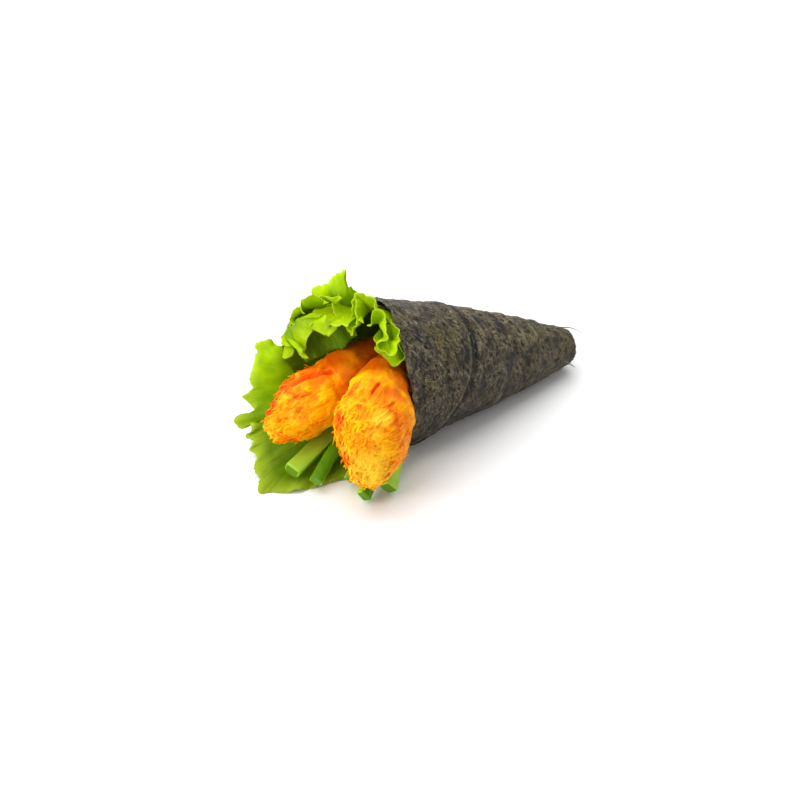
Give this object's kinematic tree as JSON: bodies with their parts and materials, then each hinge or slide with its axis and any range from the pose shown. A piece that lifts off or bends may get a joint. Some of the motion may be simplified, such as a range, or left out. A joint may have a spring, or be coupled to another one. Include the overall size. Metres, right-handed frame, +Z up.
{
  "type": "temaki hand roll",
  "caption": "Temaki hand roll lying on its side: a rolled nori cone holding a ruffled lettuce leaf, battered prawns and cucumber sticks.",
  "frame": {"origin": "on the surface it lies on, under the middle of its bounding box", "axes": "+Y from the open mouth towards the cone's closed tip, +Z up, +X to the right of someone who faces the tip"},
  "size_m": [0.0835, 0.1441, 0.0692],
  "materials": {
    "nori": "matte dry seaweed sheet, fibrous, dark green-brown",
    "lettuce": "fresh frilled lettuce leaf, bright yellow-green, soft gloss",
    "prawn_batter": "fried flaky batter, golden orange, lightly oiled",
    "cucumber": "cut cucumber, wet pale green flesh with dark green skin"
  },
  "bodies": {
    "root": {"nori_wrap": "nori", "lettuce_leaf": "lettuce", "prawn_left": "prawn_batter", "prawn_right": "prawn_batter", "cucumber_stick_1": "cucumber", "cucumber_stick_2": "cucumber", "cucumber_stick_3": "cucumber", "cucumber_stick_4": "cucumber", "cucumber_stick_5": "cucumber"}
  },
  "joints": []
}
